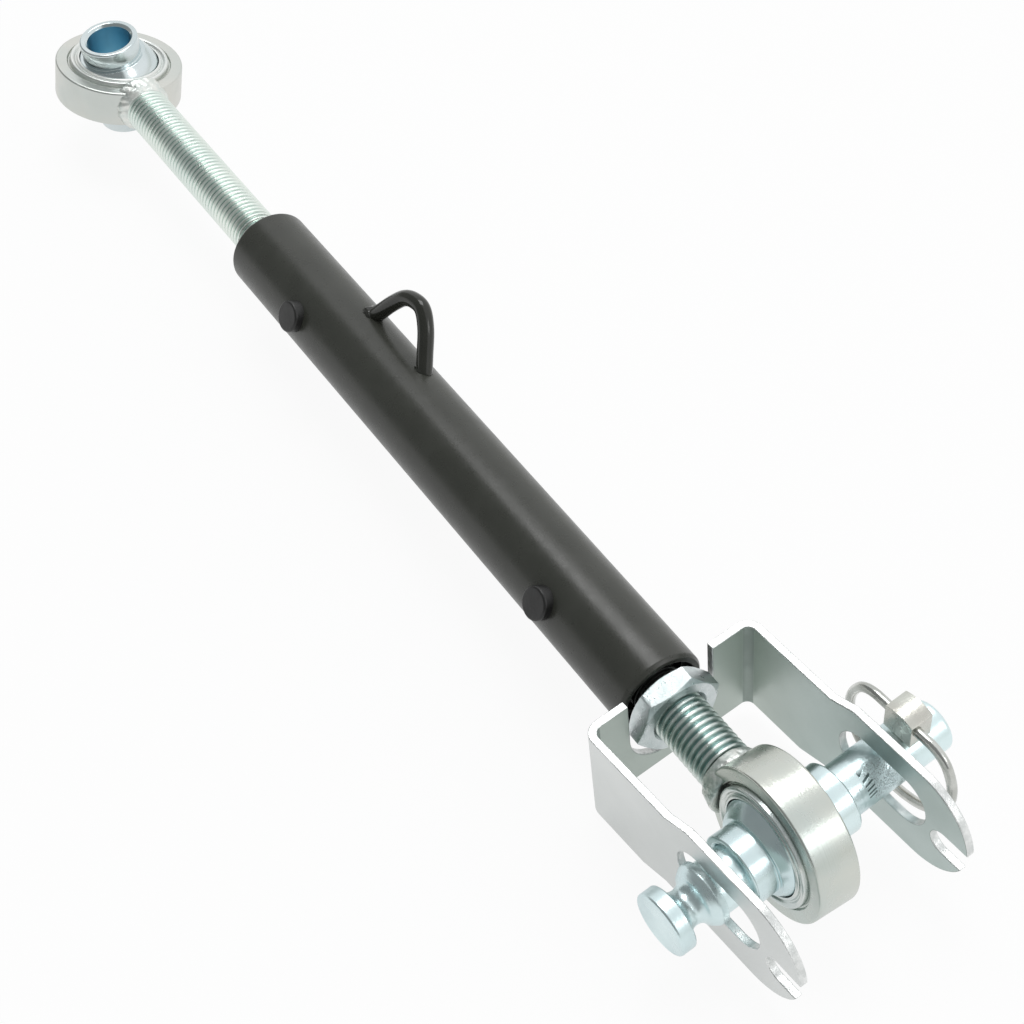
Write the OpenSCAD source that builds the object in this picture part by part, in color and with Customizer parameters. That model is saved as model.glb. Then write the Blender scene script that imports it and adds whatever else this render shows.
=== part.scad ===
// Turnbuckle top link with a captive hitch pin and a swinging sheet bracket.
// Millimetres. The upper ball sits at the origin, the lower ball lies on +X,
// the lower hitch pin runs close to +Y, and +Z is up.

/* [Link] */
// Distance from the upper ball centre to the lower ball centre
link_length = 481; // [455:1:505]
// Diameter of the two threaded rods over the thread crests
rod_diameter = 19.6; // [18:0.1:20]
// Distance from the lower ball centre to the inner end of the lower rod
lower_rod_reach = 179.5; // [177:0.5:182]
// Distance from the upper ball centre to the inner end of the upper rod
upper_rod_reach = 257.5; // [255:0.5:260]
// Roll of the upper eye about the link axis, in degrees
upper_eye_roll = -12.2; // [-30:0.1:30]

/* [Barrel] */
// Length of the barrel tube
barrel_length = 274; // [270:1:278]
// How much farther the barrel stands from the upper ball than from the lower one
barrel_bias = 75.2; // [71:0.2:79]
// Outside diameter of the barrel tube
barrel_diameter = 34.2; // [33.8:0.1:34.6]
// Wall thickness of the barrel tube
barrel_wall = 4.3; // [3.8:0.1:4.6]
// Turn of the barrel about its own axis, in degrees
barrel_roll = -28; // [-90:1:90]
// Depth of the shallow recess in each barrel end
recess_depth = 6; // [2:0.5:12]
// Length of each threaded insert
insert_length = 30; // [24:1:36]
// Distance from a barrel end to the middle of its insert
insert_inset = 50; // [44:1:56]
// Head diameter of the studs that hold the inserts
stud_head_diameter = 12.5; // [10:0.5:14]
// Height of the stud heads above the tube
stud_head_height = 3.4; // [2:0.1:4.5]

/* [Hand loop] */
// Wire diameter of the hand loop
loop_wire = 6.4; // [5:0.1:7]
// Distance from the lower ball centre to the middle of the loop
loop_offset = 247.5; // [235:0.5:260]
// Radius of the loop's crown, measured to the wire centre
loop_crown_radius = 13.5; // [11:0.5:16]
// Splay of each straight leg of the loop from upright, in degrees
loop_splay = 30; // [15:1:40]
// Height of the loop wire centre above the barrel axis at its top
loop_height = 36.4; // [34:0.2:40]

/* [Eyes] */
// Outside diameter of both eye rings
eye_diameter = 56; // [54:0.5:58]
// Thickness of both eye rings
eye_thickness = 16.1; // [14:0.1:17]
// Outside diameter of the bearing races pressed into the rings
race_diameter = 43.8; // [43:0.1:45]
// Width of the races, a little more than the rings
race_width = 19.2; // [18:0.1:20]
// Diameter of the round part of the balls
ball_diameter = 39; // [38:0.1:39.4]
// Width of the balls over their necks
ball_width = 43; // [38:0.5:46]
// Diameter of the ball necks
neck_diameter = 26; // [24:0.1:27]
// Tilt of the upper ball out of square, in degrees
upper_ball_tilt = 15; // [-16:0.5:16]

/* [Hitch pin] */
// Diameter of the hitch pin
pin_diameter = 19.05; // [18:0.05:19.5]
// Distance from the ball centre to the outer face of the pin head
pin_head_reach = 51; // [49:0.5:54]
// Diameter of the pin head and of the collar
pin_head_diameter = 22.8; // [21:0.1:25]
// Thickness of the pin head
pin_head_thickness = 5.7; // [4:0.1:7]
// Distance from the ball centre to the tip of the pin
pin_tip_reach = 65; // [62:0.5:70]
// Roll of the hitch pin about the link axis, in degrees
pin_roll = 3.5; // [-5:0.1:5]
// Yaw of the hitch pin about the upright axis, in degrees
pin_yaw = 3.5; // [2.5:0.1:4]

/* [Bracket] */
// Thickness of the bracket sheet
sheet = 3; // [2.5:0.1:4]
// Distance from the pin axis to the inner face of the bracket web
web_distance = 59.6; // [59.2:0.1:60]
// Clear width between the bracket arms
bracket_width = 66; // [62:0.5:70]
// Distance from the ball centre to the inner face of the near arm
near_arm_distance = 28.7; // [27.5:0.1:29.5]
// Height of the bracket web
web_height = 44.5; // [43:0.5:50]
// Swing of the bracket about the pin, in degrees
bracket_swing = -0.7; // [-3:0.1:3]
// Radius of the round noses of the arms
nose_radius = 22.5; // [21.5:0.5:26]
// Distance from the pin axis to the centre of the nose radius
nose_reach = 20.5; // [16:0.5:26]
// Width of the long slots in the arms
slot_width = 21.2; // [21.2:0.1:24]
// Width of the open slots in the arm noses
fork_width = 11; // [6:0.5:12]
// Half width of the open notch in the web
notch_half_width = 17.9; // [17.8:0.1:19]

/* [Jam nut] */
// Distance over the flats of the jam nut
nut_flats = 30; // [28:0.5:30]
// Thickness of the jam nut
nut_thickness = 8; // [6:0.5:8.5]
// Gap between the jam nut and the end of the barrel
nut_gap = 3; // [2.4:0.1:6]
// Turn of the jam nut about the rod, in degrees
nut_roll = 14; // [-30:1:30]

/* [Lynch pin] */
// Distance along the hitch pin to the lynch pin
lynch_offset = 52; // [50:0.5:54]
// Diameter of the lynch pin shank
lynch_diameter = 7.9; // [6:0.1:9]
// Radius of the wire ring measured to the wire centre
ring_radius = 23.5; // [22:0.5:26]
// Wire diameter of the ring
ring_wire = 3.5; // [2.5:0.1:4]

/* [Hidden] */
$fn = 64;
// radial play of a shaft in its hole
running_play = 0.08;
// gap between two round faces that slide on each other
seat_gap = 0.3;
// depth a cutter runs past the face it opens
over = 1;

rod_r = rod_diameter / 2;
thread_bore_r = rod_r + running_play;
barrel_r = barrel_diameter / 2;
barrel_bore_r = barrel_r - barrel_wall;
recess_r = barrel_bore_r + 1.4;
// the barrel stays midway as the link is screwed in or out, but for its bias
barrel_offset = (link_length - barrel_length - barrel_bias) / 2;
barrel_end_x = link_length - barrel_offset;
barrel_start_x = barrel_end_x - barrel_length;
lower_insert_x = barrel_end_x - insert_inset;
upper_insert_x = barrel_start_x + insert_inset;

stud_r = 4;
stud_head_r = stud_head_diameter / 2;
stud_tip_r = thread_bore_r + 0.6;

loop_r = loop_wire / 2;
// the legs are a hair thicker than the crown, whose ends sit inside them
leg_r = loop_r + 0.06;
leg_lap = 0.5;
loop_x = link_length - loop_offset;
crown_z = loop_height - loop_crown_radius;
leg_x = loop_crown_radius * cos(loop_splay);
leg_z = crown_z + loop_crown_radius * sin(loop_splay);
leg_length = (leg_z - barrel_r) / cos(loop_splay);
foot_x = leg_x + leg_length * sin(loop_splay);

eye_r = eye_diameter / 2;
race_r = race_diameter / 2;
ball_r = ball_diameter / 2;
neck_r = neck_diameter / 2;
bore_r = pin_diameter / 2 + running_play;
groove_width = 1.8;
groove_depth = 1.2;

stop_groove_r = rod_r - 1.2;
stop_thickness = 2.4;
stop_inset = 2;
stop_r = rod_r + 1.8;

pin_r = pin_diameter / 2;
collar_face = near_arm_distance + sheet + 0.1;
collar_thickness = 2.4;
waist_r = pin_head_diameter * 0.29;
waist_curve = 5.7;
cross_hole_r = lynch_diameter / 2 + running_play;

web_top = web_height / 2 - 5;
web_bottom = web_top - web_height;
arm_length = web_distance + nose_reach + nose_radius + sheet;
side_reach = web_height + nose_radius;
arm_step = 7.5;
nose_z = -0.8;
slot_r = slot_width / 2;
slot_start = -14.7;
slot_end = 24.4;
slot_z = 0.8;
fork_start = 27.5;
fork_z = -4.6;
bend_r = 3;
bracket_y = bracket_width / 2 - near_arm_distance;
notch_y = (web_distance + sheet / 2) * sin(pin_yaw) - 0.1;
notch_z = -3.5;

nut_x = barrel_end_x + nut_gap;
hex_ratio = cos(30);

block_x = 12;
block_y = 9;
block_z = 12;
block_base = pin_r + 0.15;
lynch_tip = 18;
ring_eye_z = 17;
ring_y = lynch_offset - 2;
ring_r = ring_wire / 2;
ring_hole_r = ring_r + running_play;
ring_angle = asin(ring_eye_z / ring_radius);
ring_end_x = ring_radius * cos(ring_angle);
ring_grip = 3.5;
ring_corner = 1.5;

// places its children in the turned frame of the barrel
module in_barrel() {
    rotate([barrel_roll, 0, 0])
        children();
}

// places its children in the frame of the upper eye, whose bore runs along z
module in_upper_eye() {
    rotate([upper_eye_roll, 0, 0])
        children();
}

// places its children at the lower ball, bore along z before the turn
module in_lower_eye() {
    translate([link_length, 0, 0])
        rotate([-90, 0, 0])
            children();
}

// places its children in the frame of the hitch pin, which runs along +Y
module in_pin() {
    translate([link_length, 0, 0])
        rotate([pin_roll, 0, pin_yaw])
            children();
}

// a cylinder along +X from one distance to another
module rod_x(start, end, r) {
    translate([start, 0, 0])
        rotate([0, 90, 0])
            cylinder(h = end - start, r = r);
}

// a cone along +X from one distance to another
module cone_x(start, end, r_start, r_end) {
    translate([start, 0, 0])
        rotate([0, 90, 0])
            cylinder(h = end - start, r1 = r_start, r2 = r_end);
}

// a cylinder along +Y from one distance to another
module rod_y(start, end, r) {
    translate([0, start, 0])
        rotate([-90, 0, 0])
            cylinder(h = end - start, r = r);
}

// a cone along +Y from one distance to another
module cone_y(start, end, r_start, r_end) {
    translate([0, start, 0])
        rotate([-90, 0, 0])
            cylinder(h = end - start, r1 = r_start, r2 = r_end);
}

// a disc along z with both rims chamfered
module chamfered_disc(h, r, chamfer) {
    cylinder(h = h - 2 * chamfer, r = r, center = true);
    for (side = [0, 1])
        mirror([0, 0, side])
            translate([0, 0, h / 2 - chamfer])
                cylinder(h = chamfer, r1 = r, r2 = r - chamfer);
}

module barrel_tube() {
    color("DarkSlateGray")
        difference() {
            union() {
                rod_x(barrel_start_x + over, barrel_end_x - over, barrel_r);
                cone_x(barrel_start_x, barrel_start_x + over, barrel_r - over, barrel_r);
                cone_x(barrel_end_x - over, barrel_end_x, barrel_r, barrel_r - over);
            }
            rod_x(barrel_start_x - over, barrel_end_x + over, barrel_bore_r);
            rod_x(barrel_start_x - over, barrel_start_x + recess_depth, recess_r);
            rod_x(barrel_end_x - recess_depth, barrel_end_x + over, recess_r);
            in_barrel()
                for (x = [upper_insert_x, lower_insert_x])
                    translate([x, 0, 0])
                        rod_y(-barrel_diameter, barrel_diameter, stud_r);
        }
}

// a threaded bushing with two holes for its studs
module insert(x) {
    difference() {
        rod_x(x - insert_length / 2, x + insert_length / 2, barrel_bore_r);
        rod_x(x - insert_length, x + insert_length, thread_bore_r);
        in_barrel()
            translate([x, 0, 0])
                for (side = [0, 1])
                    mirror([0, side, 0])
                        rod_y(stud_tip_r, barrel_diameter, stud_r);
    }
}

module upper_insert() {
    color("Silver")
        insert(upper_insert_x);
}

module lower_insert() {
    color("Silver")
        insert(lower_insert_x);
}

// one stud: a shank through the tube wall and a flat round head saddled on it
module stud() {
    rod_y(stud_tip_r, barrel_r, stud_r);
    difference() {
        union() {
            rod_y(barrel_r - 2, barrel_r + stud_head_height - 0.8, stud_head_r);
            cone_y(barrel_r + stud_head_height - 0.8, barrel_r + stud_head_height,
                stud_head_r, stud_head_r - 0.8);
        }
        rod_x(-barrel_diameter, barrel_diameter, barrel_r);
    }
}

module insert_studs() {
    color("Black")
        in_barrel()
            for (x = [upper_insert_x, lower_insert_x])
                for (side = [0, 1])
                    translate([x, 0, 0])
                        mirror([0, side, 0])
                            stud();
}

// the loop wire: a round crown and two straight legs, before it is cut to the tube
module loop_arch() {
    translate([0, 0, crown_z])
        rotate([90, 0, 0])
            rotate([0, 0, loop_splay])
                rotate_extrude(angle = 180 - 2 * loop_splay)
                    translate([loop_crown_radius, 0])
                        circle(r = loop_r);
    for (side = [0, 1])
        mirror([side, 0, 0])
            translate([leg_x, 0, leg_z])
                rotate([0, 180 - loop_splay, 0])
                    translate([0, 0, -leg_lap])
                        cylinder(h = leg_length + leg_lap + 4, r = leg_r);
}

module hand_loop() {
    color("DimGray")
        in_barrel()
            translate([loop_x, 0, 0])
                difference() {
                    loop_arch();
                    rod_x(-2 * foot_x, 2 * foot_x, barrel_r);
                }
}

module loop_welds() {
    color("Gray")
        in_barrel()
            translate([loop_x, 0, 0])
                for (side = [0, 1])
                    mirror([side, 0, 0])
                        difference() {
                            translate([foot_x, 0, barrel_r])
                                rotate([0, -loop_splay, 0])
                                    translate([0, 0, -5])
                                        cylinder(h = 7, r1 = loop_r + 2.8, r2 = loop_r + 0.5);
                            loop_arch();
                            rod_x(-2 * foot_x, 2 * foot_x, barrel_r);
                        }
}

// an eye ring with a face groove round the seat of its race, bore along z
module eye_ring() {
    difference() {
        chamfered_disc(eye_thickness, eye_r, 0.7);
        cylinder(h = eye_thickness + 2 * over, r = race_r, center = true);
        for (side = [0, 1])
            mirror([0, 0, side])
                translate([0, 0, eye_thickness / 2 - groove_depth])
                    cylinder(h = groove_depth + over, r = race_r + groove_width);
    }
}

// a bearing race, hollowed to the ball, with raised rounded lips, bore along z
module eye_race() {
    difference() {
        chamfered_disc(race_width, race_r, 0.9);
        sphere(r = ball_r + seat_gap);
    }
}

// a ball with a neck on both sides and a straight bore along z
module eye_ball() {
    difference() {
        union() {
            intersection() {
                sphere(r = ball_r);
                cylinder(h = race_width + 7, r = ball_diameter, center = true);
            }
            chamfered_disc(ball_width, neck_r, 1);
        }
        cylinder(h = ball_width + 2 * over, r = bore_r, center = true);
    }
}

// a threaded rod along +X from the side of an eye to its inner end
module eye_rod(reach) {
    difference() {
        union() {
            rod_x(eye_r - 6, reach - 1.5, rod_r);
            cone_x(reach - 1.5, reach, rod_r, rod_r - 1.5);
        }
        difference() {
            rod_x(reach - stop_inset - stop_thickness - 0.2, reach - stop_inset, rod_r + over);
            rod_x(0, reach + over, stop_groove_r);
        }
    }
}

// the weld collar between a rod and its eye
module eye_weld() {
    difference() {
        cone_x(eye_r - 6, eye_r + 3.2, rod_r + 3.4, rod_r + 0.3);
        rod_x(0, eye_diameter, rod_r);
    }
}

// a split stop ring in the groove at the inner end of a rod
module stop_ring(reach) {
    difference() {
        rod_x(reach - stop_inset - stop_thickness - 0.1, reach - stop_inset - 0.1, stop_r);
        rod_x(0, reach, stop_groove_r + running_play);
        translate([reach - 10, -1.5, 0])
            cube([20, 3, 2 * stop_r]);
    }
}

module upper_rod() {
    color("LightSteelBlue")
        difference() {
            eye_rod(upper_rod_reach);
            in_upper_eye()
                cylinder(h = eye_diameter, r = eye_r, center = true);
        }
}

module upper_weld() {
    color("Silver")
        difference() {
            eye_weld();
            in_upper_eye()
                cylinder(h = eye_diameter, r = eye_r, center = true);
        }
}

module upper_eye() {
    color("Gainsboro")
        in_upper_eye()
            eye_ring();
}

module upper_race() {
    color("LightGray")
        in_upper_eye()
            eye_race();
}

module upper_ball() {
    color("SlateGray")
        in_upper_eye()
            rotate([upper_ball_tilt, 0, 0])
                eye_ball();
}

module upper_stop() {
    color("Gray")
        stop_ring(upper_rod_reach);
}

module lower_rod() {
    color("LightSteelBlue")
        difference() {
            translate([link_length, 0, 0])
                mirror([1, 0, 0])
                    eye_rod(lower_rod_reach);
            in_lower_eye()
                cylinder(h = eye_diameter, r = eye_r, center = true);
        }
}

module lower_weld() {
    color("Silver")
        difference() {
            translate([link_length, 0, 0])
                mirror([1, 0, 0])
                    eye_weld();
            in_lower_eye()
                cylinder(h = eye_diameter, r = eye_r, center = true);
        }
}

module lower_eye() {
    color("Gainsboro")
        in_lower_eye()
            eye_ring();
}

module lower_race() {
    color("LightGray")
        in_lower_eye()
            eye_race();
}

module lower_ball() {
    color("SlateGray")
        in_pin()
            rotate([-90, 0, 0])
                eye_ball();
}

module lower_stop() {
    color("Gray")
        translate([link_length, 0, 0])
            mirror([1, 0, 0])
                stop_ring(lower_rod_reach);
}

module jam_nut() {
    color("WhiteSmoke")
        difference() {
            intersection() {
                translate([nut_x, 0, 0])
                    rotate([nut_roll, 0, 0])
                        rotate([0, 90, 0])
                            rotate([0, 0, 90])
                                cylinder(h = nut_thickness, r = nut_flats / 2 / hex_ratio, $fn = 6);
                union() {
                    cone_x(nut_x, nut_x + 1.2, nut_flats / 2 + 0.4, nut_flats / 2 + 2.4);
                    rod_x(nut_x + 1.2, nut_x + nut_thickness - 1.2, nut_flats / 2 + 2.4);
                    cone_x(nut_x + nut_thickness - 1.2, nut_x + nut_thickness,
                        nut_flats / 2 + 2.4, nut_flats / 2 + 0.4);
                }
            }
            rod_x(nut_x - over, nut_x + nut_thickness + over, thread_bore_r);
            cone_x(nut_x - 0.01, nut_x + 1, thread_bore_r + 1, thread_bore_r);
            cone_x(nut_x + nut_thickness - 1, nut_x + nut_thickness + 0.01,
                thread_bore_r, thread_bore_r + 1);
        }
}

// the bent sheet seen from above: a web across and two arms along +X
module bracket_plan(grow, back) {
    half = bracket_width / 2 + grow;
    corner = bend_r + grow;
    translate([back + corner, bracket_y - half])
        square([arm_length, 2 * half]);
    translate([back, bracket_y - half + corner])
        square([corner + 1, 2 * (half - corner)]);
    for (side = [-1, 1])
        translate([back + corner, bracket_y + side * (half - corner)])
            circle(r = corner);
}

// the arm outline seen from the side, web on the left and nose on the right
module arm_side() {
    translate([nose_reach, nose_z])
        circle(r = nose_radius);
    polygon([
        [-web_distance - sheet - over, web_bottom],
        [-33, web_bottom],
        [-21, nose_z - nose_radius],
        [nose_reach, nose_z - nose_radius],
        [nose_reach, nose_z + nose_radius],
        [-10, nose_z + nose_radius],
        [-20.5, web_top],
        [-web_distance - sheet - over, web_top]
    ]);
}

// the long pin slot and the open fork slot of an arm
module arm_slots() {
    for (x = [slot_start + slot_r, slot_end - slot_r])
        translate([x, slot_z])
            circle(r = slot_r);
    translate([slot_start + slot_r, slot_z - slot_r])
        square([slot_end - slot_start - slot_width, slot_width]);
    translate([fork_start + fork_width / 2, fork_z])
        circle(r = fork_width / 2);
    translate([fork_start + fork_width / 2, fork_z - fork_width / 2])
        square([nose_radius + nose_reach, fork_width]);
}

// the U bracket: a bent sheet cut to the arm outline, with its slots and notch
module bracket() {
    color("Gainsboro")
        in_pin()
            rotate([0, bracket_swing, 0])
                difference() {
                    intersection() {
                        translate([0, 0, -side_reach])
                            linear_extrude(height = 2 * side_reach)
                                difference() {
                                    bracket_plan(sheet, -web_distance - sheet);
                                    bracket_plan(0, -web_distance);
                                }
                        rotate([90, 0, 0])
                            linear_extrude(height = 3 * bracket_width, center = true)
                                difference() {
                                    arm_side();
                                    arm_slots();
                                }
                    }
                    translate([-web_distance - sheet - over, notch_y, notch_z])
                        rotate([0, 90, 0])
                            cylinder(h = sheet + 2 * over, r = notch_half_width);
                    translate([-web_distance - sheet - over, notch_y - notch_half_width, notch_z])
                        cube([sheet + 2 * over, 2 * notch_half_width, web_height]);
                }
}

// the turned hitch pin: head, waist, flared collar, shank and cross hole
module hitch_pin() {
    waist_start = -pin_head_reach + pin_head_thickness;
    flare_end = -collar_face - collar_thickness;
    color("LightSteelBlue")
        in_pin()
            difference() {
                union() {
                    cone_y(-pin_head_reach, -pin_head_reach + 1.2,
                        pin_head_diameter / 2 - 1.2, pin_head_diameter / 2);
                    rod_y(-pin_head_reach + 1.2, waist_start - 0.8, pin_head_diameter / 2);
                    cone_y(waist_start - 0.8, waist_start,
                        pin_head_diameter / 2, pin_head_diameter / 2 - 0.8);
                    rotate([-90, 0, 0])
                        rotate_extrude()
                            difference() {
                                polygon([
                                    [0, waist_start - 0.5],
                                    [waist_r + 2.6, waist_start - 0.5],
                                    [waist_r + 2.6, flare_end - 2.6],
                                    [pin_head_diameter / 2 - 0.3, flare_end],
                                    [0, flare_end]
                                ]);
                                translate([waist_r + waist_curve, (waist_start + flare_end) / 2 - 1])
                                    circle(r = waist_curve);
                            }
                    rod_y(flare_end, -collar_face, pin_head_diameter / 2 - 0.3);
                    rod_y(-collar_face - 1, pin_tip_reach - 1.6, pin_r);
                    cone_y(pin_tip_reach - 1.6, pin_tip_reach, pin_r, pin_r - 1.6);
                }
                translate([0, lynch_offset, 0])
                    cylinder(h = 3 * pin_r, r = cross_hole_r, center = true);
            }
}

// the lynch pin: a shank with a tapered end under a domed block
module lynch_pin() {
    color("Gainsboro")
        in_pin()
            difference() {
                translate([0, lynch_offset, 0])
                    union() {
                        translate([0, 0, -lynch_tip + 3])
                            cylinder(h = lynch_tip + block_base, r = lynch_diameter / 2);
                        translate([0, 0, -lynch_tip])
                            cylinder(h = 3, r1 = lynch_diameter / 2 - 1.5, r2 = lynch_diameter / 2);
                        intersection() {
                            translate([-block_x / 2, -block_y / 2, block_base])
                                cube([block_x, block_y, block_z]);
                            translate([0, 0, block_base - 1])
                                rotate([90, 0, 0])
                                    cylinder(h = 20, r = block_z + 1, center = true);
                        }
                    }
                for (side = [0, 1])
                    mirror([side, 0, 0])
                        translate([block_x / 2 - ring_grip - 0.2, ring_y, ring_eye_z])
                            rotate([0, 90, 0])
                                cylinder(h = ring_grip + over, r = ring_hole_r);
            }
}

// the wire ring of the lynch pin, its two ends held in the block
module lynch_ring() {
    color("LightGray")
        in_pin()
            translate([0, ring_y, 0])
                union() {
                    rotate([90, 0, 0])
                        rotate([0, 0, 180 - ring_angle - ring_corner])
                            rotate_extrude(angle = 180 + 2 * ring_angle + 2 * ring_corner)
                                translate([ring_radius, 0])
                                    circle(r = ring_r);
                    for (side = [0, 1])
                        mirror([side, 0, 0])
                            translate([block_x / 2 - ring_grip, 0, ring_eye_z])
                                rotate([0, 90, 0])
                                    cylinder(h = ring_end_x - block_x / 2 + ring_grip + ring_r / 3,
                                        r = ring_r);
                }
}

barrel_tube();
upper_insert();
lower_insert();
insert_studs();
hand_loop();
loop_welds();
upper_rod();
upper_weld();
upper_eye();
upper_race();
upper_ball();
upper_stop();
lower_rod();
lower_weld();
lower_eye();
lower_race();
lower_ball();
lower_stop();
jam_nut();
bracket();
hitch_pin();
lynch_pin();
lynch_ring();
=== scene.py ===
"""Looks of the top link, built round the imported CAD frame.

Sizes are in millimetres until a mesh is made. Materials, floor and lamps are in metres.
"""

import math

import bmesh
import bpy
from mathutils import Matrix, Vector, noise


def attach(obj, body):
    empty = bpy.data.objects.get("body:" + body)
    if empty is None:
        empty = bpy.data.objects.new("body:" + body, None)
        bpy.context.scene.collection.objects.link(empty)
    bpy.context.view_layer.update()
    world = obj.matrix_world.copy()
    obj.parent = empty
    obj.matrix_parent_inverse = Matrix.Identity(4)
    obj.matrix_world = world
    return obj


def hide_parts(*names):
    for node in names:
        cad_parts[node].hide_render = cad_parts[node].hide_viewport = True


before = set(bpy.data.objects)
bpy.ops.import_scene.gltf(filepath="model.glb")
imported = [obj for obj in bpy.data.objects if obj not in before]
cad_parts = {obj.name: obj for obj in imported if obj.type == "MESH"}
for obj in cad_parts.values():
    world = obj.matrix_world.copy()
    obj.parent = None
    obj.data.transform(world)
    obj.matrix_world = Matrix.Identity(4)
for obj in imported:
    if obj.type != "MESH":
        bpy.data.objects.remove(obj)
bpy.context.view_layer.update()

MM = 0.001

# ---------------------------------------------------------------- sizes, as in the CAD source
LINK = 481.0
ROD_R = 9.8
PITCH = 2.5
LOWER_REACH = 179.5
UPPER_REACH = 257.5
BARREL_R = 17.1
BARREL_BORE_R = 12.8
BARREL_RECESS_R = 14.2
BARREL_RECESS = 6.0
BARREL_END = 415.1
BARREL_START = 141.1
BARREL_ROLL = -28.0
INSERT_X = (191.1, 365.1)
LOOP_X = 233.5
LOOP_WIRE_R = 3.2
LOOP_FOOT = 18.2
EYE_R = 28.0
EYE_HALF = 8.05
RACE_R = 21.9
RACE_HALF = 9.6
BALL_R = 19.5
SEAT_R = 19.8
BALL_HALF = 21.5
NECK_R = 13.0
BORE_R = 9.605
UPPER_ROLL = -12.2
UPPER_TILT = 15.0
PIN_R = 9.525
HEAD_R = 11.4
HEAD_Y = -51.0
TIP_Y = 65.0
COLLAR_Y = -31.8
RING_Y = 50.0
RING_R = 23.5
RING_WIRE_R = 1.75
RING_EYE_Z = 17.0
NUT_START = 418.1
NUT_LENGTH = 8.0
NUT_FLATS = 30.0
NUT_ROLL = 14.0
WEB_X = -59.6
BRACKET_Y = 4.3

# ---------------------------------------------------------------- sizes of the looks alone
THREAD_START = 26.5
THREAD_DEPTH = 1.35
ROD_END_BEVEL = 1.6
CHAMFER_DEEP = 1.0
CHAMFER_LONG = 1.3
STUD_FOOT = 12.0
STUD_SHOULDER = 15.2
STUD_TOP = 20.5
STUD_STEM_R = 3.9
STUD_HEAD_R = 6.25
LOOP_LEAN = 31.0
LOOP_BENDS = ((-18.7, 15.6), (-15.4, 20.4), (-11.2, 26.8), (-6.0, 32.9), (-0.4, 35.6),
              (5.6, 35.5), (11.2, 30.3), (16.1, 21.9), (19.6, 15.8))
GROOVE_R = 22.9
GROOVE_FLOOR_R = 22.6
GROOVE_DEPTH = 1.2
SEAT_HALF = 9.2
BALL_STEP = 13.1
BALL_STEP_R = 14.45
BORE_BEVEL = 1.1
HEAD_END = -45.3
WAIST_LENGTH = 8.6
WAIST_R = 10.4
WAIST_DEPTH = 3.9
COLLAR_START = -34.4
COLLAR_R = 11.1
RING_CORNER_X = 5.2
SHARP_ANGLE = 30.0


def turn(axis, degrees):
    return Matrix.Rotation(math.radians(degrees), 4, axis)


ALONG_X = turn("Y", 90)
LOWER = Matrix.Translation((LINK, 0, 0))
LOWER_ROD = LOWER @ turn("Y", -90)
UPPER_EYE = turn("X", UPPER_ROLL)
UPPER_BALL = turn("X", UPPER_ROLL + UPPER_TILT)
LOWER_EYE = LOWER @ turn("X", -90)
PIN = LOWER @ turn("Z", 3.5) @ turn("X", 3.5)
PIN_AXIS = PIN @ turn("X", -90)
BRACKET = PIN @ turn("Y", -0.7)
BARREL = turn("X", BARREL_ROLL)


# ---------------------------------------------------------------- node materials
class Nodes:
    """Short calls for the nodes of one tree."""

    def __init__(self, tree):
        self.tree = tree
        tree.nodes.clear()

    def node(self, kind, **values):
        n = self.tree.nodes.new(kind)
        for key, value in values.items():
            setattr(n, key, value)
        return n

    def link(self, a, b):
        self.tree.links.new(a, b)

    def put(self, socket, value):
        if isinstance(value, bpy.types.NodeSocket):
            self.link(value, socket)
        else:
            socket.default_value = value

    def math(self, operation, a, b=0.0):
        n = self.node("ShaderNodeMath", operation=operation)
        self.put(n.inputs[0], a)
        self.put(n.inputs[1], b)
        return n.outputs[0]

    def times(self, product, *factors):
        for factor in factors:
            product = self.math("MULTIPLY", product, factor)
        return product

    def remap(self, value, low, high, out_low=0.0, out_high=1.0):
        n = self.node("ShaderNodeMapRange", interpolation_type="SMOOTHSTEP")
        for key, v in (("Value", value), ("From Min", low), ("From Max", high),
                       ("To Min", out_low), ("To Max", out_high)):
            self.put(n.inputs[key], v)
        return n.outputs[0]

    def mix(self, factor, a, b):
        n = self.node("ShaderNodeMix", data_type="RGBA")
        self.put(n.inputs[0], factor)
        for socket, value in ((n.inputs[6], a), (n.inputs[7], b)):
            self.put(socket, value if isinstance(value, bpy.types.NodeSocket) else (*value, 1))
        return n.outputs[2]


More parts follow.
